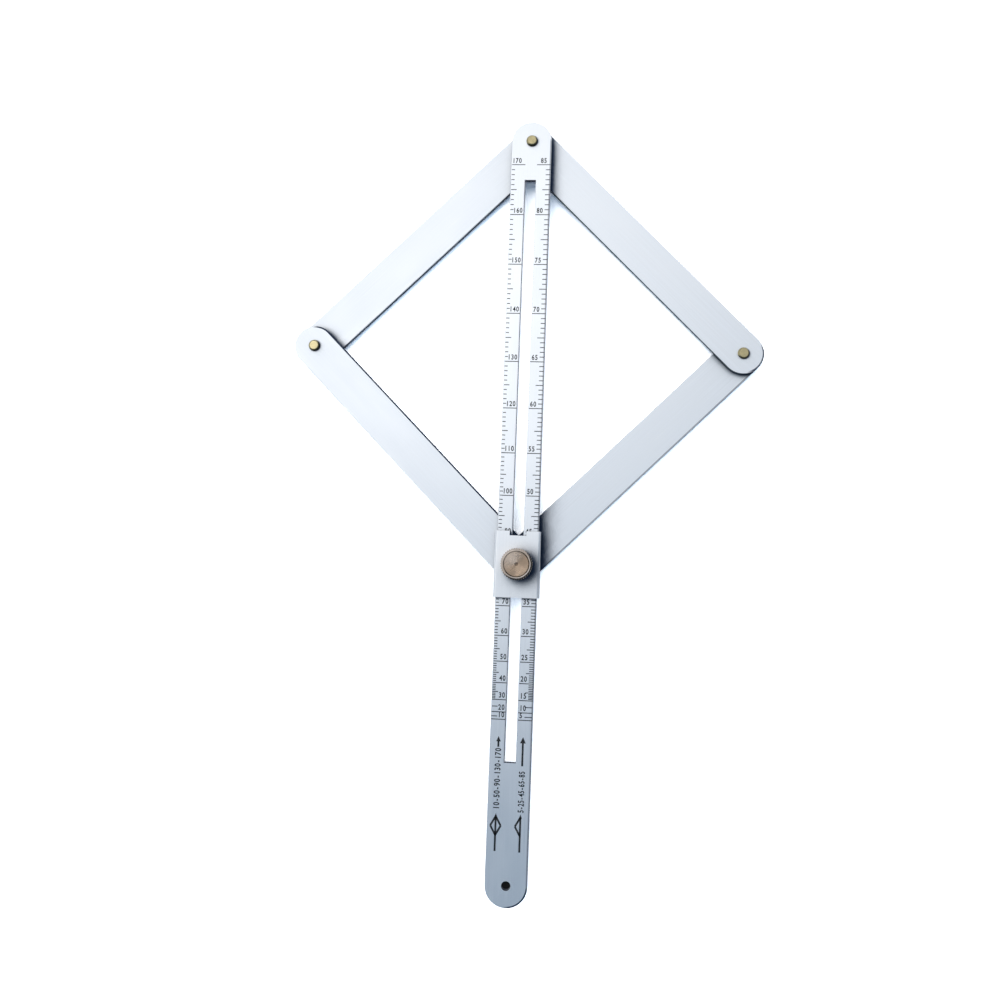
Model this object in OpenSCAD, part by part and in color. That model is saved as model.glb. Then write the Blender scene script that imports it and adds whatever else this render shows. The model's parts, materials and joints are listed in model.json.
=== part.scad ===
/* [Linkage] */
// Distance between the two pivots of each arm
arm_pitch = 120; // [110:1:124]
// Half of the angle between the upper arms, as the model stands
half_angle = 45; // [20:1:70]
// Distance from the top pivot to the hang hole
ruler_pitch = 288.5; // [280:0.5:300]

/* [Strips] */
// Width of the ruler and of each arm
strip_w = 16; // [14.5:0.5:17]
// Thickness of the ruler and of each arm
strip_t = 2; // [1.5:0.1:2.5]
// Broken edge along every strip
edge_break = 0.2; // [0.05:0.05:0.4]
// Gap between two strips, filled by a friction washer
layer_gap = 0.3; // [0.2:0.05:0.6]
// Diameter of the hole to hang the ruler by
hang_d = 3.5; // [2.5:0.5:6]
// Width of the slot in the ruler
slot_w = 4.2; // [4.1:0.05:4.4]
// Distance from the top pivot to the upper end of the slot
slot_top = 16.3; // [10:0.1:18]
// Distance from the top pivot to the lower end of the slot
slot_bottom = 244; // [242:0.5:260]

/* [Rivets and washers] */
// Diameter of a rivet's shank
shank_d = 3; // [2:0.1:4]
// Play between a turning part and its bore, on the diameter
pivot_play = 0.1; // [0.04:0.02:0.18]
// Diameter of a rivet's head
rivet_head_d = 4.4; // [4:0.1:6]
// Height of a rivet's head
rivet_head_h = 0.9; // [0.6:0.1:1.2]
// Width of the chamfer round a rivet's head
rivet_rim = 0.6; // [0.2:0.1:0.7]
// Outer diameter of the rolled tail
tail_d = 4.6; // [4.2:0.1:6]
// Height of the rolled tail
tail_h = 0.85; // [0.6:0.05:1.2]
// Depth of the hollow in the tail
tail_hollow = 2.6; // [1:0.1:4]
// Outer diameter of a friction washer
friction_d = 11; // [8:0.5:13]
// Outer diameter of a burr washer
burr_d = 7; // [6:0.5:9]
// Thickness of a burr washer
burr_t = 0.5; // [0.3:0.1:0.8]

/* [Slider] */
// Thickness of the slider's sheet
sheet_t = 0.8; // [0.6:0.1:1.2]
// Length of the slider along the ruler
slider_len = 25.5; // [22:0.5:30]
// Gap between the ruler's edge and the flange, each side
flange_play = 0.1; // [0.05:0.05:0.3]
// How far the flanges reach below the plate
flange_drop = 1.7; // [1.2:0.1:1.8]
// Inner radius of the two bends
bend_r = 0.25; // [0.1:0.05:0.3]
// Width of the index notch
notch_w = 6.4; // [5:0.1:8]
// Distance from the screw's axis to the reading edge of the notch
index_offset = 11; // [9:0.25:11.5]

/* [Clamp screw and knob] */
// Diameter of the clamp screw's head
screw_head_d = 9; // [8:0.5:12]
// Diameter of the shoulder that the lower arms turn on
shoulder_d = 6; // [5:0.5:8]
// Diameter of the screw's thread
thread_d = 4; // [3:0.1:4]
// Diameter of the knob over the knurl
knob_d = 12.2; // [10:0.1:14]
// Height of the knob
knob_h = 6; // [5:0.5:9]
// Width of the chamfer round both rims of the knob
knob_rim = 0.95; // [0.4:0.05:1.2]
// Number of knurl teeth
knurl_teeth = 40; // [30:2:60]
// Depth of the knurl
knurl_depth = 0.36; // [0.15:0.01:0.45]
// Diameter of the washer under the knob
knob_washer_d = 10; // [8:0.5:12]
// Thickness of the washer under the knob
knob_washer_t = 0.5; // [0.3:0.1:0.8]

/* [Hidden] */
$fn = 96;
eps = 0.01;
// Running gap between faces that slide over each other
face_play = 0.03;

// Heights of the three layers of strips, from the lowest point of the object
low_z = tail_h + burr_t;
mid_z = low_z + strip_t + layer_gap;
ruler_z = mid_z + strip_t + layer_gap;
ruler_top_z = ruler_z + strip_t;
plate_z = ruler_top_z + 0.05;
plate_top_z = plate_z + sheet_t;
knob_z = plate_top_z + knob_washer_t + 2 * face_play;

// Places in plan. The top pivot lies half the hole distance above the middle of the ruler
top = [0, ruler_pitch / 2];
hang = [0, -ruler_pitch / 2];
reach_x = arm_pitch * sin(half_angle);
reach_y = arm_pitch * cos(half_angle);
left = top + [-reach_x, -reach_y];
right = top + [reach_x, -reach_y];
clamp = top + [0, -2 * reach_y];

pin_bore_d = shank_d + pivot_play;
shoulder_bore_d = shoulder_d + pivot_play;
washer_bore_d = shank_d + 0.2;
friction_t = layer_gap - 2 * 0.025;
neck_w = slot_w - 0.2;
neck_top_z = plate_z - face_play;
shoulder_top_z = ruler_z - face_play;
shoulder_z = low_z - 0.05;
thread_end_z = knob_z + knob_h * 0.68;
bore_end_z = knob_z + knob_h * 0.8;
tail_hollow_d = shank_d * 0.6;

ALUMINIUM = [0.86, 0.88, 0.90];
SHEET = [0.80, 0.82, 0.84];
BRASS = [0.72, 0.63, 0.42];
NYLON = [0.93, 0.92, 0.88];

module at(place, z = 0) translate([place[0], place[1], z]) children();

function heading(from, to) = atan2(to[1] - from[1], to[0] - from[0]);

// A flat bar with broken edges and full round ends about its two end points, lying along X
module strip(length) {
    r = strip_w / 2;
    rim = [[0, 0], [r - edge_break, 0], [r, edge_break], [r, strip_t - edge_break],
        [r - edge_break, strip_t], [0, strip_t]];
    section = [[edge_break - r, 0], [r - edge_break, 0], [r, edge_break],
        [r, strip_t - edge_break], [r - edge_break, strip_t], [edge_break - r, strip_t],
        [-r, strip_t - edge_break], [-r, edge_break]];
    rotate([90, 0, 90]) linear_extrude(height = length) polygon(section);
    rotate([0, 0, 90]) rotate_extrude(angle = 180) polygon(rim);
    translate([length, 0, 0]) rotate([0, 0, -90]) rotate_extrude(angle = 180) polygon(rim);
}

// An arm from one pivot to another, with a bore for each
module arm(from, to, z, from_bore, to_bore) {
    at(from, z) rotate([0, 0, heading(from, to)]) difference() {
        strip(arm_pitch);
        bore(from_bore);
        translate([arm_pitch, 0, 0]) bore(to_bore);
    }
}

module bore(d) translate([0, 0, -1]) cylinder(d = d, h = strip_t + 2);

module washer(outer, inner, t) difference() {
    cylinder(d = outer, h = t);
    translate([0, 0, -1]) cylinder(d = inner, h = t + 2);
}

module friction_washer(place, below_z, inner) {
    color(NYLON) at(place, below_z + strip_t + 0.025) washer(friction_d, inner, friction_t);
}

// A semi-tubular rivet: a flat head with a chamfered rim, whose lower face is at head_z, and a
// hollow tail rolled out from the bottom up to its burr washer's lower face at roll_z
module rivet(place, head_z, roll_z) {
    roll_r = roll_z / 2;
    roll_x = tail_d / 2 - roll_r;
    head_r = rivet_head_d / 2;
    head = [[0, 0], [head_r, 0], [head_r, rivet_head_h - rivet_rim * 0.8],
        [head_r - rivet_rim, rivet_head_h], [0, rivet_head_h]];
    color(BRASS) at(place) difference() {
        union() {
            translate([0, 0, head_z]) rotate_extrude() polygon(head);
            translate([0, 0, roll_r]) cylinder(d = shank_d, h = head_z - roll_r + eps);
            rotate_extrude() {
                translate([roll_x, roll_r]) circle(r = roll_r);
                translate([0, roll_r]) square([roll_x, roll_r]);
            }
        }
        translate([0, 0, -1]) cylinder(d = tail_hollow_d, h = tail_hollow + 1);
    }
}

module burr_washer(place, z) {
    color(BRASS) at(place, z) washer(burr_d, shank_d + 0.04, burr_t);
}

module ruler() {
    color(ALUMINIUM) difference() {
        at(top, ruler_z) rotate([0, 0, -90]) strip(ruler_pitch);
        at(top, ruler_z) bore(pin_bore_d);
        at(hang, ruler_z) bore(hang_d);
        translate([-slot_w / 2, top[1] - slot_bottom, ruler_z - 1])
            cube([slot_w, slot_bottom - slot_top, strip_t + 2]);
    }
}

module upper_left_arm() color(ALUMINIUM) arm(top, left, low_z, pin_bore_d, pin_bore_d);
module upper_right_arm() color(ALUMINIUM) arm(top, right, mid_z, pin_bore_d, pin_bore_d);
module lower_left_arm() color(ALUMINIUM) arm(left, clamp, mid_z, pin_bore_d, shoulder_bore_d);
module lower_right_arm() color(ALUMINIUM) arm(right, clamp, low_z, pin_bore_d, shoulder_bore_d);

// The left rivet stays with the arm below, so its head leaves the arm above a running gap. The top
// and right rivets stay with the strip above, so their burr washers leave the arm below the same gap
module top_rivet() rivet(top, ruler_top_z, tail_h - face_play);
module left_rivet() rivet(left, mid_z + strip_t + face_play, tail_h);
module right_rivet() rivet(right, mid_z + strip_t, tail_h - face_play);

module top_burr_washer() burr_washer(top, tail_h - face_play);
module left_burr_washer() burr_washer(left, tail_h);
module right_burr_washer() burr_washer(right, tail_h - face_play);

module top_upper_friction_washer() friction_washer(top, mid_z, washer_bore_d);
module top_lower_friction_washer() friction_washer(top, low_z, washer_bore_d);
module left_friction_washer() friction_washer(left, low_z, washer_bore_d);
module right_friction_washer() friction_washer(right, low_z, washer_bore_d);
module clamp_upper_friction_washer() friction_washer(clamp, mid_z, shoulder_d + 0.2);
module clamp_lower_friction_washer() friction_washer(clamp, low_z, shoulder_d + 0.2);

// One sheet folded down along both edges of the ruler, with the index notch in its upper edge
module slider() {
    color(SHEET) difference() {
        at(clamp + [0, -slider_len / 2]) rotate([90, 0, 180]) linear_extrude(height = slider_len)
            channel_section();
        translate([-notch_w / 2, clamp[1] + index_offset, plate_z - 1])
            cube([notch_w, slider_len, sheet_t + 2]);
        at(clamp, plate_z - 1) cylinder(d = thread_d + 0.1, h = sheet_t + 2);
    }
}

// The folded sheet's end view: plate, two bends and two flanges
module channel_section() {
    inner = strip_w / 2 + flange_play;
    bend_x = inner - bend_r;
    bend_z = plate_z - bend_r;
    outer_r = bend_r + sheet_t;
    foot_z = plate_z - flange_drop;
    translate([-bend_x, plate_z]) square([2 * bend_x, sheet_t]);
    for (side = [0, 1]) mirror([side, 0]) {
        translate([bend_x, bend_z]) intersection() {
            difference() {
                circle(r = outer_r);
                circle(r = bend_r);
            }
            square(outer_r);
        }
        translate([inner, foot_z]) square([sheet_t, bend_z - foot_z]);
    }
}

// Low head, shoulder for the arms, square neck for the slot, and the threaded end
module clamp_screw() {
    head_z = shoulder_z;
    crown = [[0, 0], [screw_head_d / 2 - 0.6, 0], [screw_head_d / 2, 0.5],
        [screw_head_d / 2, head_z], [0, head_z]];
    color(BRASS) at(clamp) {
        rotate_extrude() polygon(crown);
        translate([0, 0, head_z - eps]) cylinder(d = shoulder_d, h = shoulder_top_z - head_z + eps);
        translate([-neck_w / 2, -neck_w / 2, shoulder_top_z - eps])
            cube([neck_w, neck_w, neck_top_z - shoulder_top_z + eps]);
        translate([0, 0, neck_top_z - eps]) cylinder(d = thread_d, h = thread_end_z - neck_top_z + eps);
    }
}

// A turned blank with chamfered rims, a dished face and a centre dimple, on a short neck
module knob() {
    r = knob_d / 2;
    face_r = r - knob_rim - 0.3;
    neck_h = knob_h * 0.1;
    dimple_r = 0.4;
    floor_h = knob_h - 0.12;
    blank = [[0, neck_h], [r - knob_rim, neck_h], [r, neck_h + knob_rim], [r, knob_h - knob_rim],
        [r - knob_rim, knob_h], [face_r, knob_h], [dimple_r, floor_h], [0, floor_h - dimple_r]];
    color(BRASS) at(clamp, knob_z) difference() {
        union() {
            cylinder(r = r * 0.8, h = neck_h + eps);
            intersection() {
                rotate_extrude() polygon(blank);
                translate([0, 0, neck_h - 1]) linear_extrude(height = knob_h + 2)
                    knurl(r + knurl_depth / 4, r - knurl_depth);
            }
        }
        translate([0, 0, -1]) cylinder(d = thread_d + 0.06, h = bore_end_z - knob_z + 1);
    }
}

// The knurl's star, whose points reach past the blank so that each tooth keeps a narrow crest
module knurl(crest_r, root_r) {
    polygon([for (i = [0 : 2 * knurl_teeth - 1])
        let (r = i % 2 == 0 ? crest_r : root_r, a = 180 * i / knurl_teeth)
        [r * cos(a), r * sin(a)]]);
}

module knob_washer() {
    color(BRASS) at(clamp, plate_top_z + face_play)
        washer(knob_washer_d, thread_d + 0.2, knob_washer_t);
}

ruler();
upper_left_arm();
upper_right_arm();
lower_left_arm();
lower_right_arm();
top_rivet();
left_rivet();
right_rivet();
slider();
clamp_screw();
knob();
knob_washer();
top_upper_friction_washer();
top_lower_friction_washer();
left_friction_washer();
right_friction_washer();
clamp_upper_friction_washer();
clamp_lower_friction_washer();
top_burr_washer();
left_burr_washer();
right_burr_washer();
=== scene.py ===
"""Angle ruler, dressed: finishes, printed scale, turned knob and a plain studio stage."""

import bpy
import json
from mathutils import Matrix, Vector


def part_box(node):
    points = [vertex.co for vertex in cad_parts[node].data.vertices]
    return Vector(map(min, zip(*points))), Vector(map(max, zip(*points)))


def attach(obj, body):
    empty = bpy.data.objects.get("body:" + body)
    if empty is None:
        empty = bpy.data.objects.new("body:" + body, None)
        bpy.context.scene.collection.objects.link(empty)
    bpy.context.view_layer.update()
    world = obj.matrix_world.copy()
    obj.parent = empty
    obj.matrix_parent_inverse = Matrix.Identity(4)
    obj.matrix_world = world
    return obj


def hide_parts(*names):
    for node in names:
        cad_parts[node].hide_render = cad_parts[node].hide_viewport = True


bl_info = {
    "name": "Angle ruler",
    "version": (1, 0, 0),
    "blender": (4, 5, 0),
    "location": "View3D > Sidebar > Angle ruler",
    "description": "Finishes, printed scale, turned knob and studio stage of an angle ruler",
    "category": "Object",
}

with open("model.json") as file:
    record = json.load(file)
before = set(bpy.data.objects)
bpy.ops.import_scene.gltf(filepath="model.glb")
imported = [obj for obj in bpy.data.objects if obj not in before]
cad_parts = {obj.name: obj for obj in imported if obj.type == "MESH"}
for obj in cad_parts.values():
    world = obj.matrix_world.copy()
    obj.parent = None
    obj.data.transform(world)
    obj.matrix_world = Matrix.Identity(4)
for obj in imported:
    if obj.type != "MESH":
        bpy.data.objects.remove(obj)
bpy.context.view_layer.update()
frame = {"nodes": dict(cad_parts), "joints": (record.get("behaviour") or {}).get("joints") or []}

import json
from math import radians

import bmesh
import bpy
import numpy as np
from bpy.props import FloatProperty, FloatVectorProperty, IntProperty
from mathutils import Matrix, Vector

MM = 0.001
NODES = frame["nodes"]


def joint_place(name):
    """Where a joint's axis stands in plan."""
    joint = next(j for j in frame["joints"] if j["name"] == name)
    return Vector(joint["pos_m"])


# The five centres that the whole linkage is laid out on
TOP = joint_place("upper_left_pivot")
LEFT = joint_place("lower_left_pivot")
RIGHT = joint_place("lower_right_pivot")
CLAMP = joint_place("slider_pivot")
ARM_PITCH = (TOP - LEFT).length
RULER_LOW, RULER_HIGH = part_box("ruler")
RULER_HALF_WIDTH = (RULER_HIGH.x - RULER_LOW.x) / 2
HANG = Vector((0, RULER_LOW.y + RULER_HALF_WIDTH, 0))


def linear_colour(code):
    """A six-digit sRGB hex value as linear red, green, blue and full alpha."""
    srgb = np.array([int(code[i:i + 2], 16) for i in (0, 2, 4)]) / 255
    linear = np.where(srgb <= 0.04045, srgb / 12.92, ((srgb + 0.055) / 1.055) ** 2.4)
    return (*linear.tolist(), 1.0)


def colour_property(name, description, code):
    """A colour setting whose default is a six-digit sRGB hex value."""
    return FloatVectorProperty(
        name=name, description=description, default=linear_colour(code),
        subtype="COLOR", size=4, min=0, max=1,
    )


def length_property(name, description, millimetres):
    """A length setting in metres whose default is given in millimetres."""
    return FloatProperty(
        name=name, description=description, default=millimetres * MM,
        min=0, precision=5, unit="LENGTH",
    )


class FinishSettings(bpy.types.PropertyGroup):
    """Colours of the bare materials, as each would look under plain white light, and the colours
    that paint shade.
    """

    strip: colour_property("Strips", "Satin anodised aluminium of the ruler and the arms", "F3F6FA")
    sheet: colour_property("Slider", "Satin anodised aluminium sheet of the slider", "F6F8FB")
    worn: colour_property("Worn edge", "Bare aluminium where the edges have rubbed", "FAFBFC")
    # Painted shade: this dark grey stands for the shade on the upright faces; only their rough
    # texture is their own
    sheared: colour_property("Sheared edge", "Upright faces left by the blanking tool", "656D76")
    # Painted shade: this navy stands for the shadow in corners beside raised pieces and along edges
    # that face away from the lamp
    grime: colour_property("Grime", "Oil and dust in the corners beside raised pieces", "263348")
    knob: colour_property("Knob", "Turned brass of the knob", "B49D88")
    rivet: colour_property("Rivets", "Rolled brass of the rivets", "B8AD87")
    screw: colour_property("Screw", "Turned brass of the clamp screw", "C4B083")
    nylon: colour_property("Nylon", "Moulded natural nylon of the friction washers", "E6E2D6")
    ink: colour_property("Ink", "Baked black printing ink of the scale", "14161A")


class ScaleSettings(bpy.types.PropertyGroup):
    """Sizes of the printed scale. The left column reads the whole angle, the right one half."""

    index_offset: length_property(
        "Index offset", "From the clamp's axis to the reading edge of the slider's notch", 11.0)
    line_width: length_property("Line width", "Width of a graduation line", 0.3)
    ink_thickness: length_property("Ink thickness", "How far the ink stands above the ruler", 0.012)
    left_short: length_property("Short line, left", "Length of a one-degree line at the left", 1.25)
    left_long: length_property("Longer line, left", "Length of a five-degree line at the left", 2.2)
    right_short: length_property("Short line, right", "Length of a half-degree line", 1.75)
    right_long: length_property("Longer line, right", "Length of a 2.5-degree line", 2.9)
    digit_height: length_property("Digit height", "Height of the scale's numbers", 2.1)
    digit_pitch: length_property("Digit pitch", "Distance from one digit to the next", 1.29)
    digit_margin: length_property("Digit margin", "From the slot's edge to the nearest digit", 0.65)
    range_height: length_property("Range height", "Height of the numbers below the arrows", 2.3)
    range_pitch: length_property(
        "Range pitch", "Character pitch of the numbers below the arrows", 1.41)
    first_angle: IntProperty(
        name="First angle", description="Widest angle on the left column, in degrees", default=170)
    fine_until: IntProperty(
        name="Fine until", description="Below this angle only every fifth degree is marked",
        default=30)
    last_angle: IntProperty(
        name="Last angle", description="Narrowest angle on the left column, in degrees", default=10)


class KnobSettings(bpy.types.PropertyGroup):
    """Sizes of the knob that its box doesn't give."""

    teeth: IntProperty(name="Teeth", description="Teeth of the straight knurl", default=40, min=12)
    knurl_depth: length_property("Knurl depth", "From a tooth's crest to its root", 0.36)
    rim: length_property("Rim", "Width of the chamfer round both ends", 0.85)
    lip: length_property("Lip", "Width of the flat lip inside the upper chamfer", 0.32)
    groove: length_property("Groove", "Width of the turned groove inside the lip", 0.3)
    dish: length_property("Dish", "Depth of the turned face at its centre", 0.12)
    dimple: length_property("Dimple", "Radius of the centre dimple", 0.4)
    bore: length_property("Bore", "Diameter of the threaded bore", 4.06)


class StageSettings(bpy.types.PropertyGroup):
    """Camera, lamps, floor and the light of the room."""

    camera_place: FloatVectorProperty(
        name="Camera place", description="Where the camera stands", unit="LENGTH",
        default=(0.0142, -0.0287, 0.3151), precision=5)
    camera_turn: FloatVectorProperty(
        name="Camera turn", description="Turn of the camera about X, Y and Z, from looking down",
        subtype="EULER", default=(radians(5.227), radians(3.770), radians(2.135)))
    lens: FloatProperty(
        name="Lens", description="Focal length on a 36 mm sensor", default=28.74, unit="CAMERA")
    key_power: FloatProperty(
        name="Key power", description="Watts of the soft key lamp", default=1.5)
    key_size: length_property("Key size", "Side of the soft key lamp", 560)
    floor: colour_property("Floor", "Matt white paper of the floor", "F4F4F4")
    floor_lift: FloatProperty(
        name="Floor lift", description="How many times as bright the camera sees the paper",
        default=4.2, min=1)
    floor_glow: FloatProperty(
        name="Floor glow", description="Light of its own that the paper shows to the metal",
        default=0.32, min=0)
    room_bright: colour_property("Bright side", "Ceiling light from the far left", "FFFFFF")
    room_overhead: colour_property("Overhead", "Ceiling light from right above", "99A4AD")
    room_dark: colour_property("Dark side", "Ceiling light from the near right", "055C83")
    room_walls: colour_property("Walls", "Pale backdrop that stands round the table", "D0D7DF")


SETTINGS = {
    "ruler_finish": FinishSettings,
    "ruler_scale": ScaleSettings,
    "ruler_knob": KnobSettings,
    "ruler_stage": StageSettings,
}


def add_node(tree, kind, settings=None, **inputs):
    """Adds one node. A setting is an attribute; an input is a value or the socket that feeds it.
    An input's name may use _ for a space, or be in_0, in_1 and so on for its number."""
    node = tree.nodes.new(kind)
    for name, value in (settings or {}).items():
        setattr(node, name, value)
    for name, value in inputs.items():
        key = int(name[3:]) if name.startswith("in_") else name.replace("_", " ")
        socket = node.inputs[key]
        if isinstance(value, bpy.types.NodeSocket):
            tree.links.new(value, socket)
        else:
            socket.default_value = value
    return node


def empty_material(name):
    """A named material with nothing in its node tree."""
    material = bpy.data.materials.new(name)
    material.use_nodes = True
    material.node_tree.nodes.clear()
    return material, material.node_tree


def put_on(objects, material):
    """Gives each object the material as its only one."""
    for item in objects:
        item.data.materials.clear()
        item.data.materials.append(material)


def millimetre_coordinates(tree, centre, turn=0.0):
    """Object coordinates in millimetres about a centre, with X along the turned direction."""
    place = add_node(tree, "ShaderNodeTexCoord").outputs["Object"]
    local = add_node(
        tree, "ShaderNodeMapping", {"vector_type": "TEXTURE"},
        Vector=place, Location=centre, Rotation=(0, 0, turn), Scale=(MM, MM, MM),
    )
    return local.outputs[0]


def vector_maths(tree, operation, first, second=(0, 0, 0)):
    """One sum on two vectors. A length or a dot product comes as a number."""
    node = add_node(
        tree, "ShaderNodeVectorMath", {"operation": operation}, in_0=first, in_1=second)
    return node.outputs["Value" if operation in ("LENGTH", "DOT_PRODUCT") else "Vector"]


def parts_of(tree, vector):
    """The X, Y and Z of a vector."""
    return add_node(tree, "ShaderNodeSeparateXYZ", Vector=vector).outputs


def stretched_noise(tree, vector, size, detail=2.0, roughness=0.5):
    """Noise whose grains measure size (three lengths in millimetres), from 0 to 1."""
    noise = add_node(
        tree, "ShaderNodeTexNoise", Vector=vector_maths(tree, "DIVIDE", vector, size), Scale=1.0,
        Detail=detail, Roughness=roughness,
    )
    return noise.outputs[0]


def remap(tree, value, low, high, to_low=0.0, to_high=1.0):
    """Moves a value from one range to another, clamped at both ends."""
    node = add_node(
        tree, "ShaderNodeMapRange", Value=value, From_Min=low, From_Max=high,
        To_Min=to_low, To_Max=to_high,
    )
    return node.outputs[0]


def maths(tree, operation, first, second=0.0):
    """One sum on two values or sockets."""
    return add_node(
        tree, "ShaderNodeMath", {"operation": operation}, in_0=first, in_1=second
    ).outputs[0]


def blend_colours(tree, share, first, second):
    """A colour between two others."""
    node = add_node(
        tree, "ShaderNodeMix", {"data_type": "RGBA"}, in_0=share, in_6=first, in_7=second)
    return node.outputs[2]


def openness(tree, reach):
    """How open a surface lies within reach (in millimetres), from 0 to 1. The normal leans to the
    far left, so the side of a raised piece that looks away from there counts as the closed one.
    It is the mask of the painted shade beside raised pieces."""
    normal = add_node(tree, "ShaderNodeNewGeometry").outputs["Normal"]
    leaning = vector_maths(tree, "NORMALIZE", vector_maths(tree, "ADD", normal, (-1.25, 0.5, 0)))
    occlusion = add_node(
        tree, "ShaderNodeAmbientOcclusion", {"samples": 16}, Normal=leaning, Distance=reach * MM)
    return occlusion.outputs["AO"]


def finish_material(tree, shader):
    """Leads a shader to the material's surface."""
    add_node(tree, "ShaderNodeOutputMaterial", Surface=shader.outputs[0])


def scaled_colour(colour, factor):
    """A colour with each channel times a factor."""
    return (*(channel * factor for channel in colour[:3]), 1.0)


def polished_colour(colour):
    """Halfway from a metal's colour to white."""
    return (*((channel + 1) / 2 for channel in colour[:3]), 1.0)


def bar_edge(tree, x, y, half_length, half_width):
    """How far a point lies outside a bar with round ends, negative inside it, and the way out of
    the bar from there. The distance is length(max(|x| - half_length, 0), y) - half_width."""
    past = maths(tree, "SUBTRACT", maths(tree, "ABSOLUTE", x), half_length)
    lengthways = maths(tree, "MULTIPLY", maths(tree, "SIGN", x), maths(tree, "MAXIMUM", past))
    way_out = add_node(tree, "ShaderNodeCombineXYZ", X=lengthways, Y=y).outputs[0]
    return maths(tree, "SUBTRACT", vector_maths(tree, "LENGTH", way_out), half_width), way_out


def burr_line(tree, edge, way_out, turn, burr):
    """Painted shade: a thin dark line, 0.5 mm wide, along the edges that face one way, away from
    the lamp. That way is given in plan, as two numbers, and how dark its line is."""
    plan_x, plan_y, darkness = burr
    across, up = np.cos(turn), np.sin(turn)
    own_way = (plan_x * across + plan_y * up, plan_y * across - plan_x * up, 0)
    facing = vector_maths(tree, "DOT_PRODUCT", vector_maths(tree, "NORMALIZE", way_out), own_way)
    near = remap(tree, edge, -0.72, -0.52)
    return maths(tree, "MULTIPLY", near, remap(tree, facing, 0.6, 0.8, 0.0, darkness))


def slot_walls(tree, x, y, slot):
    """The upright walls of a slot, and the same line of painted shade along its left edge, which is
    the low side of the ruler's own Y. The slot is its middle along X, half its length and half its
    width; a wall lies where both distances past its middle lines stay under those halves."""
    middle, half_length, half_width = slot
    lengthways = maths(tree, "ABSOLUTE", maths(tree, "SUBTRACT", x, middle))
    past_end = maths(tree, "SUBTRACT", lengthways, half_length)
    past_side = maths(tree, "SUBTRACT", maths(tree, "ABSOLUTE", y), half_width)
    walls = remap(tree, maths(tree, "MAXIMUM", past_end, past_side), 0.02, 0.04, 1.0, 0.0)
    beside = maths(tree, "SUBTRACT", maths(tree, "MULTIPLY", y, -1), half_width)
    near = maths(
        tree, "MULTIPLY", remap(tree, beside, 0.25, 0.42, 0.7, 0.0),
        remap(tree, past_end, 0.0, 0.2, 1.0, 0.0))
    return walls, maths(tree, "MULTIPLY", near, remap(tree, beside, -0.1, 0.0))


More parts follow.
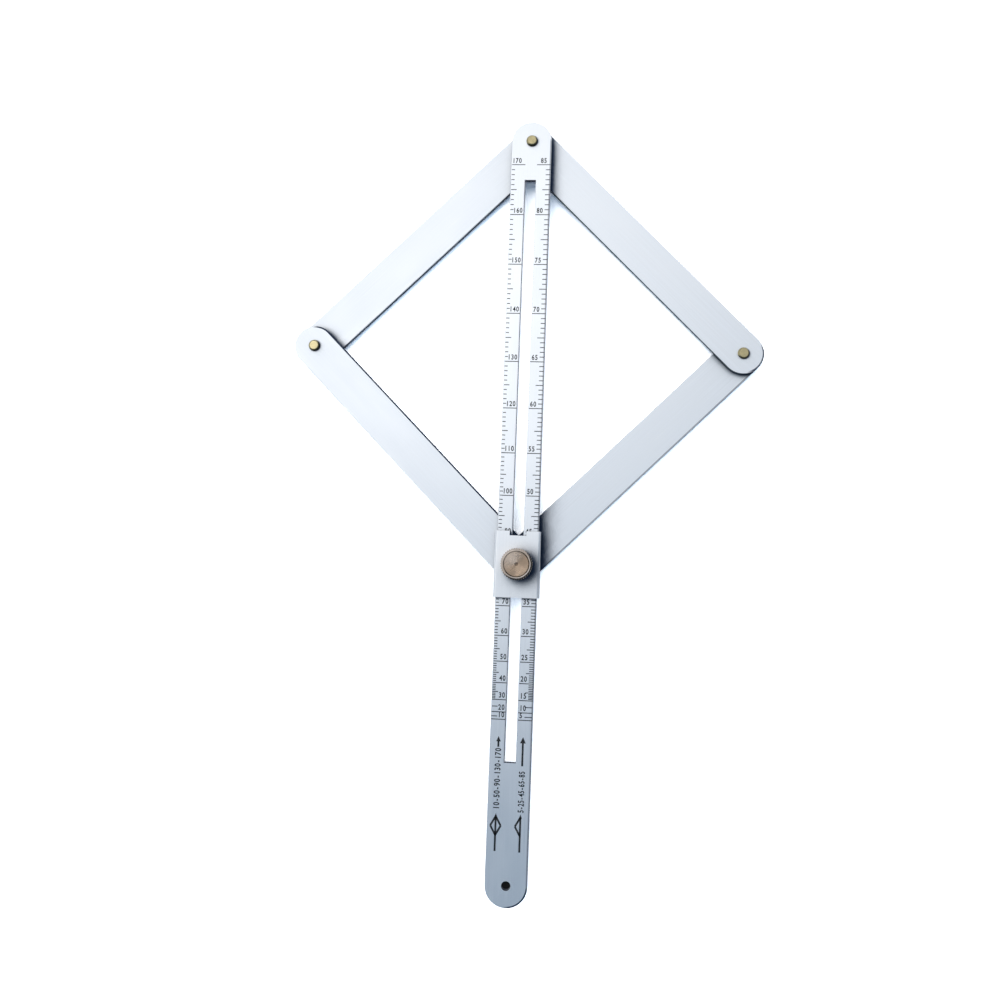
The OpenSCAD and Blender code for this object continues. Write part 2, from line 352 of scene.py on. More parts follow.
def anodised_aluminium(
        name, finish, colour, centre, turn, half_length, half_width, slot=None, burr=None,
        roughness=0.56):
    """Satin anodised aluminium strip, cold rolled, brushed along its length, then etched and
    anodised. It gives the eye a pale, soft metal with a faint drawn grain along the strip, thin
    long handling scratches, and a brighter, smoother line where the edges have rubbed bare.
    Blanking leaves the upright faces, the slot's too, rough; their dark grey is painted shade.
    A thin line of painted shade runs along the edges that face one way, away from the lamp."""
    material, tree = empty_material(name)
    worn, sheared, grime = tuple(finish.worn), tuple(finish.sheared), tuple(finish.grime)
    local = millimetre_coordinates(tree, centre, turn)
    x, y, _ = parts_of(tree, local)
    edge, way_out = bar_edge(tree, x, y, half_length, half_width)
    upright = remap(tree, edge, -0.04, -0.02)
    # Painted shade: a dark line along the edges that face the way burr gives, away from the lamp
    edge_shade = burr_line(tree, edge, way_out, turn, burr) if burr else 0.0
    if slot:
        walls, slot_edge_shade = slot_walls(tree, x, y, slot)
        upright = maths(tree, "MAXIMUM", upright, walls)
        edge_shade = maths(tree, "MAXIMUM", edge_shade, slot_edge_shade)

    # The drawn grain is 0.05 mm wide on the real strip, too fine to show, so here it is 0.4 mm
    grain = stretched_noise(tree, local, (34.0, 0.42, 0.42), detail=3.0, roughness=0.6)
    # Clouding of the anodised film, some 14 mm across
    cloud = stretched_noise(tree, local, (22.0, 11.0, 11.0), detail=2.0)
    # Grit of the etch, drawn at 0.25 mm
    grit = stretched_noise(tree, local, (0.3, 0.22, 0.22), detail=1.0)
    # Handling scratches: long thin ridges of a stretched noise, mostly along the strip
    scratch_field = stretched_noise(tree, local, (46.0, 0.9, 1.0), detail=1.0)
    scratch = remap(tree, scratch_field, 0.735, 0.77)

    uneven = stretched_noise(tree, local, (5.0, 1.5, 1.5), detail=2.0)
    rub = maths(
        tree, "MULTIPLY", remap(tree, edge, -0.45, -0.12), remap(tree, uneven, 0.35, 0.6))
    pale = blend_colours(tree, remap(tree, cloud, 0.3, 0.7), scaled_colour(colour, 0.955), colour)
    lined = blend_colours(tree, remap(tree, grain, 0.3, 0.7), scaled_colour(colour, 0.93), pale)
    scored = blend_colours(tree, maths(tree, "MULTIPLY", scratch, 0.35), lined, worn)
    rubbed = blend_colours(tree, maths(tree, "MULTIPLY", rub, 0.8), scored, worn)
    torn = stretched_noise(tree, local, (0.5, 0.5, 1.6), detail=2.0)
    # Painted shade: the upright faces are dark grey, broken by their rough blanked texture
    shaded_rough_edge = blend_colours(
        tree, remap(tree, torn, 0.3, 0.7), sheared, scaled_colour(sheared, 0.6))
    # The painted shade lines take the painted shade colour
    edge_shaded = blend_colours(tree, edge_shade, rubbed, grime)
    clean = blend_colours(tree, upright, edge_shaded, shaded_rough_edge)
    # Painted shade where raised pieces within 12 mm close a corner off, most on the side away from
    # the lamp
    clear = remap(tree, openness(tree, 12.0), 0.36, 0.67)
    base = blend_colours(tree, clear, grime, clean)

    satin = remap(tree, grain, 0.25, 0.75, roughness - 0.04, roughness + 0.04)
    cloudy = maths(tree, "ADD", satin, remap(tree, cloud, 0.3, 0.7, -0.02, 0.02))
    rough = maths(tree, "SUBTRACT", cloudy, maths(tree, "MULTIPLY", rub, 0.1))

    relief = maths(
        tree, "ADD", maths(tree, "MULTIPLY", grain, 0.6), maths(tree, "MULTIPLY", grit, 0.4))
    cut = maths(tree, "SUBTRACT", relief, maths(tree, "MULTIPLY", scratch, 0.4))
    bump = add_node(tree, "ShaderNodeBump", Height=cut, Strength=0.12, Distance=0.02 * MM)
    shader = add_node(
        tree, "ShaderNodeBsdfPrincipled", Base_Color=base, Roughness=rough, Metallic=1.0,
        Normal=bump.outputs[0],
    )
    finish_material(tree, shader)
    return material


def turned_brass(
        name, colour, centre, roughness=0.3, groove=0.3, sheen=0.82, groove_ring=None,
        knurl=None, rim=None):
    """Free-cutting brass turned on a lathe. The tool leaves fine rings round the axis, so the
    metal carries a two-bladed sheen that fans out from the centre, with a little dark tarnish in
    the low places. The height of a ring is sin(2 pi r / groove); real rings are 0.05 mm apart.
    A groove ring, given by its radius in millimetres, is a darker band along the groove, with
    paler metal outside it. A knurl, given by its radius and the height of its upper end, gets a
    near-black painted shade along the near right of its upper half. Inside it the lip gets a
    painted highlight, and so does the far left of the face. A rim, given by its radius in
    millimetres, gets a narrower band of the same painted shade."""
    material, tree = empty_material(name)
    dark_brass, painted_shade_brass = scaled_colour(colour, 0.12), scaled_colour(colour, 0.05)
    bright = polished_colour(colour)
    local = millimetre_coordinates(tree, centre)
    x, y, z = parts_of(tree, local)
    flat = add_node(tree, "ShaderNodeCombineXYZ", X=x, Y=y).outputs[0]
    radius = vector_maths(tree, "LENGTH", flat)

    def near_right():
        """How far a point's way from the axis leads to the near right, from -1 to 1."""
        way = vector_maths(tree, "NORMALIZE", flat)
        return vector_maths(tree, "DOT_PRODUCT", way, (0.68, -0.73, 0))

    def crescent(outer, width):
        """A mask of painted shade, from nothing at both tips to its full width at the near right,
        inside a radius.
        """
        reach = maths(tree, "ADD", radius, remap(tree, near_right(), -0.5, 0.3, 0.0, width))
        return remap(tree, reach, outer, outer + 0.15)

    # The tool's feed drifts a little, so the rings aren't quite evenly spaced
    drift = maths(tree, "MULTIPLY", stretched_noise(tree, local, (1.4, 1.4, 1.4)), 0.12)
    phase = maths(tree, "MULTIPLY", maths(tree, "ADD", radius, drift), 2 * np.pi / groove)
    ring = maths(tree, "SINE", phase)
    tarnish = stretched_noise(tree, local, (1.6, 1.6, 1.6), detail=3.0)
    speck = stretched_noise(tree, local, (0.35, 0.35, 0.35), detail=2.0)
    warm = blend_colours(
        tree, remap(tree, tarnish, 0.35, 0.7), scaled_colour(colour, 0.86), colour)
    base = blend_colours(
        tree, remap(tree, ring, -1, 1, 0.0, 0.12), warm, scaled_colour(colour, 0.6))
    if groove_ring:
        # Paler metal outside the groove, and a darker band along it
        past = maths(tree, "SUBTRACT", radius, groove_ring)
        base = blend_colours(tree, remap(tree, past, 0.15, 0.4, 0.0, 0.32), base, bright)
        band = remap(tree, maths(tree, "ABSOLUTE", past), 0.1, 0.26, 1.0, 0.0)
        groove_dark = maths(tree, "MULTIPLY", band, remap(tree, tarnish, 0.3, 0.5, 0.55, 0.95))
        base = blend_colours(tree, groove_dark, base, dark_brass)
    if rim:
        # Painted shade along the near right of the rim
        base = blend_colours(
            tree, maths(tree, "MULTIPLY", crescent(rim, 0.5), 0.9), base, painted_shade_brass)
    if knurl:
        crest, top = knurl
        facing = near_right()
        # Painted highlight: a lighter lip at the near right and a lighter far left of the face
        lip = maths(
            tree, "MULTIPLY", remap(tree, radius, crest - 1.15, crest - 1.0),
            remap(tree, facing, -0.1, 0.5, 0.0, 0.6))
        far_left_highlight = remap(tree, facing, -0.9, 0.1, 0.3, 0.0)
        base = blend_colours(tree, maths(tree, "MAXIMUM", lip, far_left_highlight), base, bright)
        # Painted shade, near black, along the near right of the knurl's upper half
        upper_half = remap(tree, z, top - 2.6, top - 1.4, 0.0, 0.95)
        base = blend_colours(
            tree, maths(tree, "MULTIPLY", crescent(crest, 0.8), upper_half), base, painted_shade_brass)
        # Darker round the foot of the centre dimple, while its middle keeps the plain colour
        foot = maths(tree, "ABSOLUTE", maths(tree, "SUBTRACT", radius, 0.5))
        base = blend_colours(tree, remap(tree, foot, 0.08, 0.24, 0.75, 0.0), base, dark_brass)
    rough = maths(
        tree, "ADD", remap(tree, tarnish, 0.3, 0.7, roughness + 0.05, roughness - 0.04),
        remap(tree, speck, 0.4, 0.7, 0.0, 0.05))
    bump = add_node(tree, "ShaderNodeBump", Height=ring, Strength=0.25, Distance=0.01 * MM)
    tangent = add_node(tree, "ShaderNodeTangent", {"direction_type": "RADIAL", "axis": "Z"})
    shader = add_node(
        tree, "ShaderNodeBsdfPrincipled", Base_Color=base, Roughness=rough, Metallic=1.0,
        Anisotropic=sheen, Anisotropic_Rotation=0.25, Normal=bump.outputs[0],
        Tangent=tangent.outputs[0],
    )
    finish_material(tree, shader)
    return material


def moulded_nylon(name, colour):
    """Natural nylon, injection moulded in a bright tool. It gives the eye a milky, slightly
    see-into white with a soft gloss and a faint mould flow."""
    material, tree = empty_material(name)
    local = millimetre_coordinates(tree, (0, 0, 0))
    flow = stretched_noise(tree, local, (2.5, 2.5, 0.6), detail=2.0)
    base = blend_colours(tree, remap(tree, flow, 0.3, 0.7), scaled_colour(colour, 0.94), colour)
    bump = add_node(tree, "ShaderNodeBump", Height=flow, Strength=0.1, Distance=0.02 * MM)
    shader = add_node(
        tree, "ShaderNodeBsdfPrincipled", Base_Color=base,
        Roughness=remap(tree, flow, 0.3, 0.7, 0.36, 0.44), Normal=bump.outputs[0],
    )
    shader.inputs["Subsurface Weight"].default_value = 0.3
    shader.inputs["Subsurface Scale"].default_value = 0.5 * MM
    finish_material(tree, shader)
    return material


def printed_ink(name, colour):
    """Black epoxy ink, screen printed and baked on the anodised strip. It gives the eye a dull
    black line with a slightly broken film, where the weave of the screen shows as small pits."""
    material, tree = empty_material(name)
    local = millimetre_coordinates(tree, (0, 0, 0))
    film = stretched_noise(tree, local, (0.16, 0.16, 0.16), detail=2.0)
    lighter = tuple(min(1.0, channel * 2.2) for channel in colour[:3]) + (1.0,)
    base = blend_colours(tree, remap(tree, film, 0.45, 0.75), colour, lighter)
    bump = add_node(tree, "ShaderNodeBump", Height=film, Strength=0.2, Distance=0.006 * MM)
    shader = add_node(
        tree, "ShaderNodeBsdfPrincipled", Base_Color=base,
        Roughness=remap(tree, film, 0.3, 0.7, 0.48, 0.62), Normal=bump.outputs[0],
    )
    finish_material(tree, shader)
    return material


def new_piece(name, corners, faces, material, body):
    """A mesh piece from an array of corners in metres and a list of faces."""
    mesh = bpy.data.meshes.new(name)
    mesh.from_pydata(corners.tolist(), [], faces)
    mesh.validate()
    mesh.update()
    piece = bpy.data.objects.new(name, mesh)
    bpy.context.scene.collection.objects.link(piece)
    mesh.materials.append(material)
    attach(piece, body)
    return piece


def join_shapes(shapes):
    """Several (corners, faces) pairs as one. A face's numbers move on by its pair's start."""
    joined = []
    start = 0
    for corners, faces in shapes:
        joined += [[start + corner for corner in face] for face in faces]
        start += len(corners)
    return np.concatenate([corners for corners, _ in shapes]), joined


def ink_heights():
    """Lower and upper face of the ink. It starts a hair inside the metal, so no gap shows."""
    overlap = 0.002 * MM
    top = RULER_HIGH.z
    return top - overlap, top + bpy.context.scene.ruler_scale.ink_thickness


def bars(starts, ends, width):
    """Flat bars from each start to each end: the four corners of a bar are its two end points,
    moved half a width to both sides, taken at the ink's lower and upper height."""
    starts, ends = np.atleast_2d(starts).astype(float), np.atleast_2d(ends).astype(float)
    along = ends - starts
    along /= np.linalg.norm(along, axis=1)[:, None]
    side = np.stack([-along[:, 1], along[:, 0]], axis=1) * width / 2
    plan = np.stack([starts - side, ends - side, ends + side, starts + side], axis=1)
    return prisms(plan)


def prisms(plan):
    """Upright prisms on the rows of plan, an array of polygons that run anticlockwise: count
    polygons of n points each, in metres."""
    count, n, _ = plan.shape
    low, high = ink_heights()
    corners = np.empty((count, 2 * n, 3))
    corners[:, :n, :2] = corners[:, n:, :2] = plan
    corners[:, :n, 2], corners[:, n:, 2] = low, high
    ring = np.arange(n)
    after = (ring + 1) % n
    first = np.arange(count)[:, None] * 2 * n
    faces = (first + n + ring).tolist() + (first + ring[::-1]).tolist()
    walls = np.stack([ring, after, after + n, ring + n], axis=1)
    faces += (first[:, :, None] + walls[None]).reshape(-1, 4).tolist()
    return corners.reshape(-1, 3), faces


def glyph_shape(character):
    """One character of the built-in font as a closed solid: corners one unit high and one thick,
    its faces, and its width. Its front, back and sides are welded and face outwards."""
    curve = bpy.data.curves.new("glyph", "FONT")
    curve.body = character
    curve.extrude = 0.5
    # Strokes a little bolder than the font's own
    curve.offset = 0.024
    curve.resolution_u = 3
    holder = bpy.data.objects.new("glyph", curve)
    bpy.context.scene.collection.objects.link(holder)
    bpy.context.view_layer.update()
    mesh = bpy.data.meshes.new_from_object(holder)
    solid = bmesh.new()
    solid.from_mesh(mesh)
    bmesh.ops.remove_doubles(solid, verts=solid.verts, dist=1e-4)
    bmesh.ops.recalc_face_normals(solid, faces=solid.faces)
    solid.to_mesh(mesh)
    solid.free()
    corners = np.empty(len(mesh.vertices) * 3, np.float32)
    mesh.vertices.foreach_get("co", corners)
    corners = corners.reshape(-1, 3).astype(float)
    faces = [list(polygon.vertices) for polygon in mesh.polygons]
    bpy.data.objects.remove(holder)
    bpy.data.curves.remove(curve)
    bpy.data.meshes.remove(mesh)
    corners[:, 0] -= corners[:, 0].min()
    return corners, faces, corners[:, 0].max()


class Lettering:
    """Sets characters of the built-in font on the ruler, each in a cell of equal width."""

    def __init__(self):
        self.glyphs = {character: glyph_shape(character) for character in "0123456789-"}
        digit = self.glyphs["8"][0]
        self.base, self.height = digit[:, 1].min(), np.ptp(digit[:, 1])

    def line(self, text, place, height, pitch, squeeze, turn=0.0):
        """A line of text that starts at place and runs in the turned direction. A character's
        corner goes to place + the rotation by turn of (x, y), where x is cell * pitch + the gap
        that centres the character in its cell + its own x * squeeze * scale."""
        low, high = ink_heights()
        scale = height / self.height
        across, up = np.cos(turn), np.sin(turn)
        shapes = []
        for cell, character in enumerate(text):
            corners, faces, width = self.glyphs[character]
            gap = (pitch - width * squeeze * scale) / 2
            x = cell * pitch + gap + corners[:, 0] * squeeze * scale
            y = (corners[:, 1] - self.base) * scale
            z = np.where(corners[:, 2] > 0, high, low)
            placed = np.stack(
                [place[0] + x * across - y * up, place[1] + x * up + y * across, z], axis=1)
            shapes.append((placed, faces))
        return shapes


def scale_distance(angle):
    """Distance below the top pivot at which the notch reads an angle in degrees. The arms and the
    ruler make an isosceles triangle, so the clamp is 2 * arm * cos(angle / 2) below the pivot."""
    offset = bpy.context.scene.ruler_scale.index_offset
    return 2 * ARM_PITCH * np.cos(np.radians(np.asarray(angle, float)) / 2) - offset


def slot_edges():
    """Half the width of the slot, and its two ends along Y, from the ruler's own mesh."""
    mesh = NODES["ruler"].data
    corners = np.empty(len(mesh.vertices) * 3, np.float32)
    mesh.vertices.foreach_get("co", corners)
    corners = corners.reshape(-1, 3)
    # No other corner of the ruler lies this far from its middle line
    least, most = 1.9 * MM, 2.4 * MM
    off_middle = np.abs(corners[:, 0])
    near = corners[(off_middle < most) & (off_middle > least)]
    return float(np.abs(near[:, 0]).max()), float(near[:, 1].min()), float(near[:, 1].max())


class RULER_OT_strips(bpy.types.Operator):
    """Gives the ruler and the four arms their satin anodised finish, grained along each strip"""

    bl_idname = "angle_ruler.finish_strips"
    bl_label = "Finish the strips"

    def execute(self, context):
        finish = context.scene.ruler_finish
        # Each strip's two centres, the way in plan and darkness of its painted shade line, and its
        # roughness
        strips = {
            "ruler": (TOP, HANG, (0.72, -0.69, 1.0), 0.5),
            "upper_left_arm": (TOP, LEFT, None, 0.56),
            "upper_right_arm": (TOP, RIGHT, (0.91, -0.41, 0.9), 0.56),
            "lower_left_arm": (LEFT, CLAMP, (0.71, 0.71, 1.0), 0.56),
            "lower_right_arm": (RIGHT, CLAMP, (0.71, -0.71, 0.55), 0.56),
        }
        half_width, slot_low, slot_high = slot_edges()
        # The ruler's own X runs down from its middle, so the slot's middle lies that far along it
        ruler_middle = (TOP.y + HANG.y) / 2
        slot = (
            (ruler_middle - (slot_low + slot_high) / 2) / MM, (slot_high - slot_low) / 2 / MM,
            half_width / MM)
        for name, (start, end, burr, roughness) in strips.items():
            along = end - start
            middle = (start + end) / 2
            material = anodised_aluminium(
                f"satin_anodised_aluminium_{name}", finish, tuple(finish.strip),
                (middle.x, middle.y, 0), np.arctan2(along.y, along.x),
                along.xy.length / 2 / MM, RULER_HALF_WIDTH / MM,
                slot if name == "ruler" else None, burr, roughness,
            )
            put_on([NODES[name]], material)
        return {"FINISHED"}


class RULER_OT_slider(bpy.types.Operator):
    """Gives the folded slider its satin sheet finish, grained along its folds"""

    bl_idname = "angle_ruler.finish_slider"
    bl_label = "Finish the slider"

    def execute(self, context):
        finish = context.scene.ruler_finish
        low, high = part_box("slider")
        middle = (low + high) / 2
        half_length = (high.y - low.y) / 2 / MM
        half_width = (high.x - low.x) / 2 / MM
        material = anodised_aluminium(
            "satin_anodised_sheet_slider", finish, tuple(finish.sheet),
            (middle.x, middle.y, 0), radians(90), half_length, half_width, roughness=0.485,
        )
        put_on([NODES["slider"]], material)
        return {"FINISHED"}


class RULER_OT_brass(bpy.types.Operator):
    """Gives the rivets, burr washers, clamp screw and knob washer their turned brass finish"""

    bl_idname = "angle_ruler.finish_brass"
    bl_label = "Finish the brass parts"

    def execute(self, context):
        finish = context.scene.ruler_finish
        # In millimetres, like all lengths inside the materials
        head_radius = 2.2
        for side, place in (("top", TOP), ("left", LEFT), ("right", RIGHT)):
            # Each rivet head's rim gets painted shade along its near right
            material = turned_brass(
                f"rolled_brass_{side}_rivet", tuple(finish.rivet), (place.x, place.y, 0),
                roughness=0.26, groove=0.5, sheen=0.4, rim=head_radius)
            put_on([NODES[f"{side}_rivet"], NODES[f"{side}_burr_washer"]], material)
        screw = turned_brass(
            "turned_brass_clamp_screw", tuple(finish.screw), (CLAMP.x, CLAMP.y, 0))
        put_on([NODES["clamp_screw"], NODES["knob_washer"]], screw)
        return {"FINISHED"}


class RULER_OT_nylon(bpy.types.Operator):
    """Gives the friction washers between the strips their nylon finish"""

    bl_idname = "angle_ruler.finish_nylon"
    bl_label = "Finish the friction washers"

    def execute(self, context):
        material = moulded_nylon("moulded_natural_nylon", tuple(context.scene.ruler_finish.nylon))
        put_on([item for name, item in NODES.items() if "friction_washer" in name], material)
        return {"FINISHED"}


class RULER_OT_knob(bpy.types.Operator):
    """Builds the knurled knob with its dished, turned face and its threaded bore"""

    bl_idname = "angle_ruler.build_knob"
    bl_label = "Build the knob"

    def execute(self, context):
        sizes = context.scene.ruler_knob
        low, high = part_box("knob")
        crest = (high.x - low.x) / 2
        height = high.z - low.z
        neck = height * 0.1
        face = crest - sizes.rim - sizes.lip
        bore = sizes.bore / 2
        bore_end = height * 0.8
        lead_in = 0.25 * MM
        neck_radius = crest * 0.8
        groove_floor = height - 0.2 * MM
        face_edge = height - 0.03 * MM
        dimple_edge = height - sizes.dish
        # The turned outline as (radius, height), from the bore's end out, up the flank and in
        outline = np.array([
            (0, bore_end), (bore * 0.9, bore_end), (bore, bore_end - 0.1 * bore), (bore, lead_in),
            (bore + lead_in, 0), (neck_radius, 0), (neck_radius, neck),
            (crest - sizes.rim, neck), (crest, neck + sizes.rim),
            (crest, height - sizes.rim), (crest - sizes.rim, height),
            (face, height), (face - sizes.groove / 2, groove_floor),
            (face - sizes.groove, face_edge),
            (sizes.dimple, dimple_edge), (sizes.dimple * 0.6, dimple_edge - 0.25 * MM),
            (0, dimple_edge - 0.4 * MM),
        ])
        # Rows on each stretch of the outline; share counts the stretches up to each row
        steps = [3, 2, 3, 2, 2, 2, 6, 6, 8, 12, 4, 2, 2, 12, 4, 4]
        share = np.concatenate([np.arange(n) / n + i for i, n in enumerate(steps)] + [[len(steps)]])
        knurl_start, knurl_end = 7, 11
        radius = np.interp(share, np.arange(len(outline)), outline[:, 0])
        level = np.interp(share, np.arange(len(outline)), outline[:, 1]) + low.z
        columns = sizes.teeth * 10
        turn = np.arange(columns) * 2 * np.pi / columns
        # A tooth is a rounded triangle wave with a small flat at its crest. The chamfers cut it,
        # because the blank had them before it was knurled
        wave = np.abs((turn * sizes.teeth / (2 * np.pi)) % 1 * 2 - 1)
        tooth = crest - sizes.knurl_depth * (1 - np.minimum(wave * 1.12, 1)) ** 0.9
        knurled = (share > knurl_start) & (share < knurl_end)
        limit = np.where(knurled[:, None], tooth[None], crest)
        r = np.minimum(radius[:, None], limit)
        grid = np.stack([
            CLAMP.x + r * np.cos(turn), CLAMP.y + r * np.sin(turn),
            np.broadcast_to(level[:, None], r.shape)], axis=-1)
        corners, faces = closed_turning(grid)
        material = turned_brass(
            "turned_knurled_brass_knob", tuple(context.scene.ruler_finish.knob),
            (CLAMP.x, CLAMP.y, 0), roughness=0.27, groove=0.34, sheen=0.9,
            groove_ring=(face - sizes.groove / 2) / MM, knurl=(crest / MM, high.z / MM))
        piece = new_piece("knurled_knob", corners, faces, material, "knob")
        piece.data.shade_smooth()
        piece.data.set_sharp_from_angle(angle=radians(24))
        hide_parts("knob")
        return {"FINISHED"}


def closed_turning(grid):
    """A closed solid from a grid of rows along a profile and columns round the axis. The first
    and the last row each shrink to a point on the axis, and columns close on themselves."""
    rows, columns, _ = grid.shape
    inner = grid[1:-1].reshape(-1, 3)
    corners = np.concatenate([grid[0, :1], inner, grid[-1, :1]])
    column = np.arange(columns)
    after = (column + 1) % columns
    row = np.arange(rows - 3)[:, None] * columns + 1
    quads = np.stack(
        [row + column, row + after, row + columns + after, row + columns + column], axis=-1)
    last = len(corners) - 1
    top_row = last - columns
    start = np.stack([np.zeros_like(column), 1 + after, 1 + column], axis=1)
    end = np.stack([np.full_like(column, last), top_row + column, top_row + after], axis=1)
    return corners, quads.reshape(-1, 4).tolist() + start.tolist() + end.tolist()


class RULER_OT_lines(bpy.types.Operator):
    """Prints the graduation lines of both columns"""

    bl_idname = "angle_ruler.print_lines"
    bl_label = "Print the scale lines"

    def execute(self, context):
        sizes = context.scene.ruler_scale
        fine = np.arange(sizes.first_angle, sizes.fine_until, -1)
        coarse = np.arange(sizes.fine_until, sizes.last_angle - 1, -5)
        angles = np.concatenate([fine, coarse])
        y = TOP.y - scale_distance(angles)
        slot = slot_edges()[0]
        # Lines stop a little short of the ruler's edge, and the longest ones of the slot's too
        edge = RULER_HALF_WIDTH - 0.3 * MM
        whole = edge - slot - 0.25 * MM
        shapes = []
        for side, short, longer in ((-1, sizes.left_short, sizes.left_long),
                                    (1, sizes.right_short, sizes.right_long)):
            length = np.where(angles % 10 == 0, whole, np.where(angles % 5 == 0, longer, short))
            outer = np.full(len(y), edge)
            inner = outer - length
            first, second = (outer, inner) if side < 0 else (inner, outer)
            shapes.append(bars(
                np.stack([side * first, y], axis=1), np.stack([side * second, y], axis=1),
                sizes.line_width))
        corners, faces = join_shapes(shapes)
        new_piece("scale_lines", corners, faces, ink_material(), "ruler")
        return {"FINISHED"}


def ink_material():
    """The one ink that all the printing shares."""
    name = "screen_printed_black_ink"
    return bpy.data.materials.get(name) or printed_ink(
        name, tuple(bpy.context.scene.ruler_finish.ink))


class RULER_OT_numbers(bpy.types.Operator):
    """Prints the numbers of both columns, each above its line and beside the slot"""

    bl_idname = "angle_ruler.print_numbers"
    bl_label = "Print the scale numbers"

    def execute(self, context):
        sizes = context.scene.ruler_scale
        lettering = Lettering()
        slot, _, slot_high = slot_edges()
        rise = 0.7 * MM
        shapes = []
        for angle in range(sizes.first_angle, sizes.last_angle - 1, -10):
            y = TOP.y - float(scale_distance(angle)) + rise
            margin = slot + sizes.digit_margin
            # Above the slot the two numbers keep a wider space between them
            if y > slot_high:
                margin += 1.0 * MM
            for side, text in ((-1, str(angle)), (1, str(angle // 2))):
                width = len(text) * sizes.digit_pitch
                start = -margin - width if side < 0 else margin
                shapes += lettering.line(
                    text, (start, y), sizes.digit_height, sizes.digit_pitch, squeeze=0.77)
        corners, faces = join_shapes(shapes)
        new_piece("scale_numbers", corners, faces, ink_material(), "ruler")
        return {"FINISHED"}


class RULER_OT_range_marks(bpy.types.Operator):
    """Prints the arrows, the ranges and the small linkage figures below the scale"""

    bl_idname = "angle_ruler.print_range_marks"
    bl_label = "Print the range marks"

    def execute(self, context):
        sizes = context.scene.ruler_scale
        lettering = Lettering()
        stroke = 0.7 * MM
        left, right = -4.65 * MM, 4.55 * MM

        def at(x, below_top):
            """A point in plan, so many millimetres below the top pivot."""
            return np.array([x, TOP.y - below_top * MM])

        def head(x, tip, length, half_width):
            """A solid triangle that points away from the hang hole."""
            base = at(x, tip + length)
            out = np.array([half_width * MM, 0])
            return prisms(np.array([[base - out, base + out, at(x, tip)]]))

        def arrow(x, tip, length, half_width, tail):
            """A head on a stroke that starts 0.1 mm inside it."""
            base = at(x, tip + length)
            return [head(x, tip, length, half_width),
                    bars(base + [0, 0.1 * MM], at(x, tail), stroke)]

        shapes = arrow(left, 234.3, 2.0, 0.85, 238.3) + arrow(right, 234.3, 2.3, 1.05, 245.0)
        quarter = radians(90)
        shapes += lettering.line(
            "10-50-90-130-170", at(left + sizes.range_height / 2, 261.2), sizes.range_height,
            sizes.range_pitch, 0.8, quarter)
        shapes += lettering.line(
            "5-25-45-65-85", at(right + sizes.range_height / 2, 262.0), sizes.range_height,
            sizes.range_pitch * 0.83, 0.7, quarter)
        # The linkage figure: a rhombus on a stem, whole at the left and halved at the right
        top, middle, bottom, stem = 263.6, 267.0, 270.4, 276.2
        half = 1.95 * MM
        for x, sides in ((left, (-1, 1)), (right, (-1,))):
            for side in sides:
                corner = at(x + side * half, middle)
                shapes.append(bars(at(x, top), corner, stroke))
                shapes.append(bars(corner, at(x, bottom), stroke))
            shapes.append(bars(at(x, stem), at(x, top), stroke))
            shapes.append(head(x, top - 1.1, 1.6, 0.6))
        corners, faces = join_shapes(shapes)
        new_piece("range_marks", corners, faces, ink_material(), "ruler")
        return {"FINISHED"}


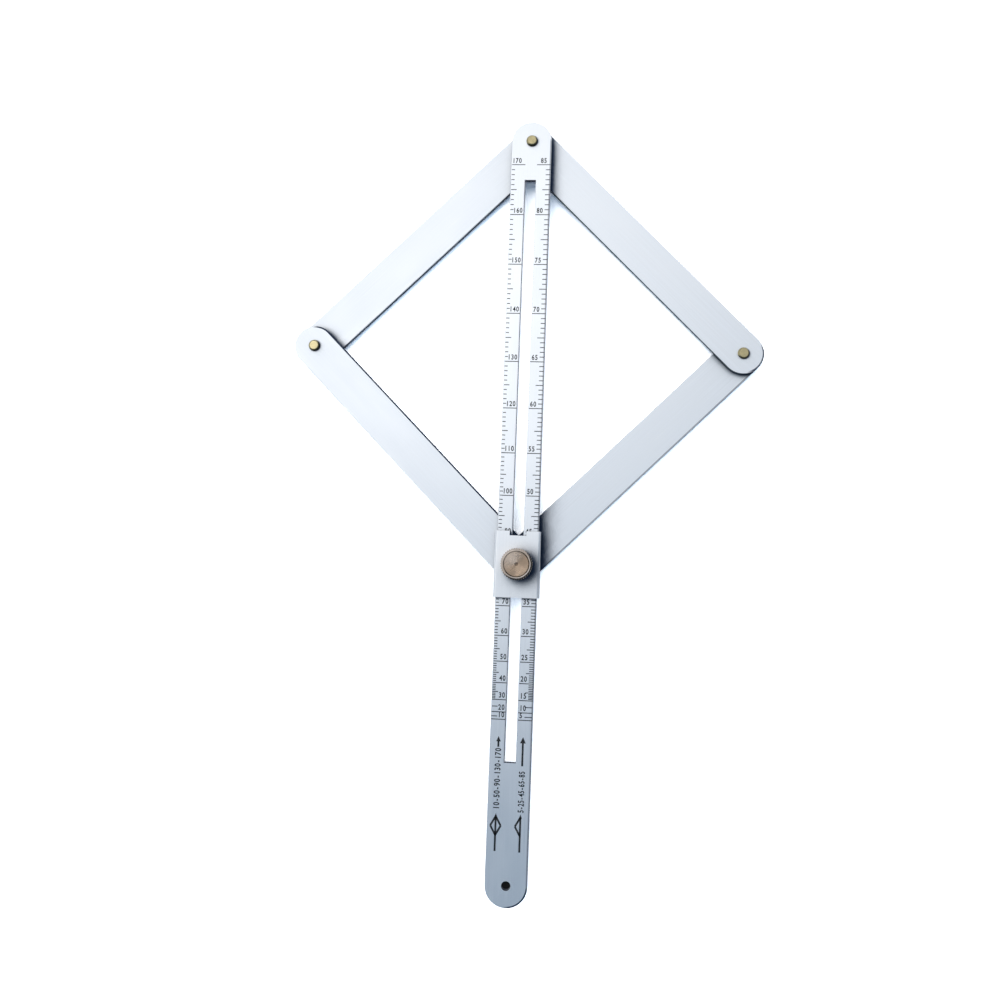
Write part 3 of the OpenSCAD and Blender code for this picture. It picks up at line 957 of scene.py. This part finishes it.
class RULER_OT_stage(bpy.types.Operator):
    """Lays the white paper, hangs the lamp, sets the room's light and places the camera"""

    bl_idname = "angle_ruler.set_stage"
    bl_label = "Set the stage"

    def execute(self, context):
        stage = context.scene.ruler_stage
        self.lay_floor(context, stage)
        self.hang_lamp(context, stage)
        self.light_room(context, stage)
        self.place_camera(context, stage)
        context.scene.view_settings.view_transform = "Standard"
        return {"FINISHED"}

    def lay_floor(self, context, stage):
        """Matt white paper. The camera sees it a few times as bright, and the metal sees it
        with a little light of its own, so that only deep shadows beside the strips stay grey.
        A painted shadow, near black and 4 mm in radius, lies right below the hang hole, so the hole
        looks dark."""
        half = 1.5
        corners = [(-half, -half, 0), (half, -half, 0), (half, half, 0), (-half, half, 0)]
        mesh = bpy.data.meshes.new("floor")
        mesh.from_pydata(corners, [], [(0, 1, 2, 3)])
        floor = bpy.data.objects.new("floor", mesh)
        context.scene.collection.objects.link(floor)
        material, tree = empty_material("matt_white_paper")
        # Painted shadow: the paper is near black within 4 mm of the point below the hang hole
        below_hole = millimetre_coordinates(tree, (HANG.x, HANG.y, 0))
        bare = remap(tree, vector_maths(tree, "LENGTH", below_hole), 4.0, 6.0)
        white = tuple(stage.floor)
        paper = add_node(
            tree, "ShaderNodeBsdfDiffuse",
            Color=blend_colours(tree, bare, scaled_colour(white, 0.03), white))
        path = add_node(tree, "ShaderNodeLightPath")
        mirrored = maths(
            tree, "MAXIMUM", path.outputs["Is Glossy Ray"], path.outputs["Is Transmission Ray"])
        glow = add_node(
            tree, "ShaderNodeEmission",
            Strength=maths(tree, "MULTIPLY", mirrored, stage.floor_glow))
        lifted = scaled_colour(white, stage.floor_lift - 1)
        bleach = add_node(
            tree, "ShaderNodeBsdfDiffuse", Color=blend_colours(tree, bare, (0, 0, 0, 1), lifted))
        lift = add_node(
            tree, "ShaderNodeMixShader", in_0=path.outputs["Is Camera Ray"], in_1=glow.outputs[0],
            in_2=bleach.outputs[0])
        both = add_node(tree, "ShaderNodeAddShader", in_0=paper.outputs[0], in_1=lift.outputs[0])
        finish_material(tree, both)
        put_on([floor], material)

    def hang_lamp(self, context, stage):
        """A square soft lamp, high at the far left, turned to the middle of the object."""
        lamp = bpy.data.lights.new("key_lamp", "AREA")
        lamp.shape = "SQUARE"
        lamp.size = stage.key_size
        lamp.energy = stage.key_power
        holder = bpy.data.objects.new("key_lamp", lamp)
        place = Vector((-0.278, 0.332, 0.937))
        aim = Vector((0, 0.04, 0)) - place
        facing = aim.to_track_quat("-Z", "Y").to_matrix().to_4x4()
        holder.matrix_world = Matrix.Translation(place) @ facing
        context.scene.collection.objects.link(holder)

    def light_room(self, context, stage):
        """A room with a pale backdrop all round and a ceiling that is white towards the far left
        and steel blue towards the near right. The ceiling's share is the direction's dot product
        with that axis, first from dark to overhead and then on to bright; the backdrop takes over
        as the direction's height falls. The camera sees plain white."""
        world = bpy.data.worlds.new("studio_room")
        world.use_nodes = True
        tree = world.node_tree
        tree.nodes.clear()
        direction = add_node(tree, "ShaderNodeTexCoord").outputs["Generated"]
        axis = Vector((-0.363, 0.932, 0)).normalized()
        towards = vector_maths(tree, "DOT_PRODUCT", direction, axis)
        climb = remap(tree, towards, -0.1, 0.48)
        ceiling = blend_colours(tree, climb, tuple(stage.room_dark), tuple(stage.room_overhead))
        reach = remap(tree, towards, -0.09, 0.03)
        ceiling = blend_colours(tree, reach, ceiling, tuple(stage.room_bright))
        _, _, height = parts_of(tree, direction)
        walls = remap(tree, height, 0.5, 0.74, 1.0, 0.0)
        colour = blend_colours(tree, walls, ceiling, tuple(stage.room_walls))
        room = add_node(tree, "ShaderNodeBackground", Color=colour, Strength=1.0)
        white = add_node(tree, "ShaderNodeBackground", Color=(1, 1, 1, 1), Strength=1.0)
        path = add_node(tree, "ShaderNodeLightPath")
        seen = maths(
            tree, "MAXIMUM", path.outputs["Is Camera Ray"], path.outputs["Is Transmission Ray"])
        either = add_node(
            tree, "ShaderNodeMixShader", in_0=seen, in_1=room.outputs[0], in_2=white.outputs[0])
        add_node(tree, "ShaderNodeOutputWorld", Surface=either.outputs[0])
        context.scene.world = world

    def place_camera(self, context, stage):
        """A camera with a 36 mm sensor that looks down on the ruler."""
        data = bpy.data.cameras.new("camera")
        data.sensor_width = 36
        data.lens = stage.lens
        data.clip_start = 0.01
        camera = bpy.data.objects.new("camera", data)
        camera.location = stage.camera_place
        camera.rotation_euler = stage.camera_turn
        context.scene.collection.objects.link(camera)
        context.scene.camera = camera


STEPS = (
    RULER_OT_stage, RULER_OT_strips, RULER_OT_slider, RULER_OT_brass, RULER_OT_nylon,
    RULER_OT_knob, RULER_OT_lines, RULER_OT_numbers, RULER_OT_range_marks,
)


class RULER_PT_panel(bpy.types.Panel):
    """Lists the steps that dress the angle ruler, in order"""

    bl_idname = "RULER_PT_panel"
    bl_label = "Angle ruler"
    bl_space_type = "VIEW_3D"
    bl_region_type = "UI"
    bl_category = "Angle ruler"

    def draw(self, context):
        for step in STEPS:
            self.layout.operator(step.bl_idname)


CLASSES = (*SETTINGS.values(), *STEPS, RULER_PT_panel)


def register():
    for item in CLASSES:
        bpy.utils.register_class(item)
    for name, group in SETTINGS.items():
        setattr(bpy.types.Scene, name, bpy.props.PointerProperty(type=group))


def unregister():
    for name in SETTINGS:
        delattr(bpy.types.Scene, name)
    for item in reversed(CLASSES):
        bpy.utils.unregister_class(item)


def main():
    """Runs all steps in order."""
    register()
    for step in STEPS:
        family, name = step.bl_idname.split(".")
        getattr(getattr(bpy.ops, family), name)()


if __name__ == "__main__":
    main()
